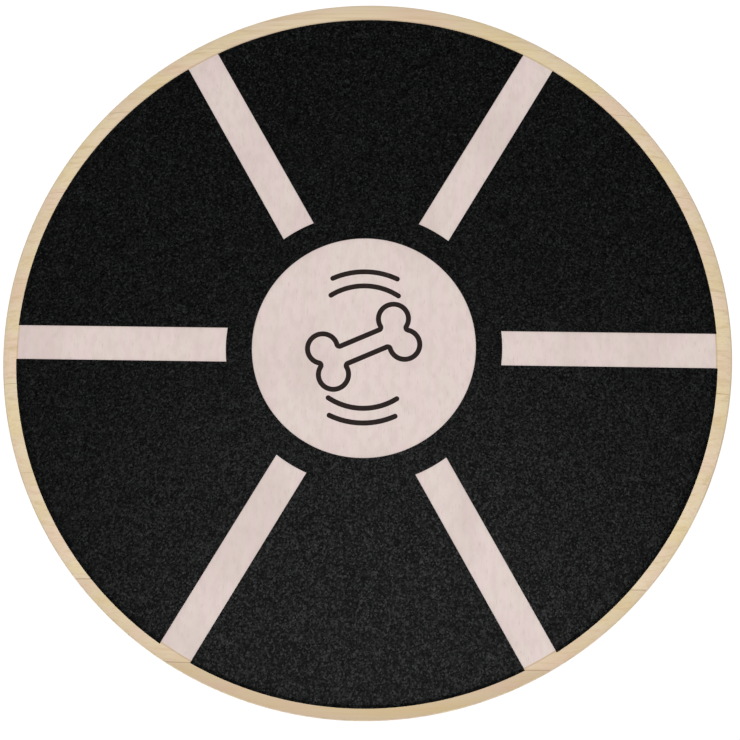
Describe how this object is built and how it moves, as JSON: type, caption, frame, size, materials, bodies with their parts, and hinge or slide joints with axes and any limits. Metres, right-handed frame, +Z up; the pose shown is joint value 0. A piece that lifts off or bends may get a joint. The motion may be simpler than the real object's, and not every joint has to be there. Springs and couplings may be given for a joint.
{
  "type": "dog balance board",
  "caption": "Round plywood balance board with a rounded edge, a black grip sheet that leaves a disc and spokes bare, and a rocker dome with a rubber sole.",
  "frame": {"origin": "on the floor, below the middle of the deck's outline", "axes": "+Z up through the deck, +X along one bare spoke, -Y towards the side that the picture sees nearest"},
  "size_m": [0.4, 0.4, 0.0708],
  "materials": {
    "grip": "gritty matte",
    "face_veneer": "satin lacquer",
    "ply_wood": "satin lacquer",
    "dome_plastic": "fine moulded grain",
    "sole_rubber": "matte",
    "fixings": "zinc plated"
  },
  "bodies": {
    "root": {"face_veneer": "face_veneer", "core_ply_1": "ply_wood", "core_ply_2": "ply_wood", "core_ply_3": "ply_wood", "core_ply_4": "ply_wood", "core_ply_5": "ply_wood", "back_veneer": "face_veneer", "grip_sheet": "grip", "rocker_dome": "dome_plastic", "rocker_sole": "sole_rubber", "dome_screw_1": "fixings", "dome_screw_2": "fixings", "dome_screw_3": "fixings", "dome_screw_4": "fixings", "dome_screw_5": "fixings", "dome_screw_6": "fixings", "dome_washer_1": "fixings", "dome_washer_2": "fixings", "dome_washer_3": "fixings", "dome_washer_4": "fixings", "dome_washer_5": "fixings", "dome_washer_6": "fixings"}
  },
  "joints": []
}
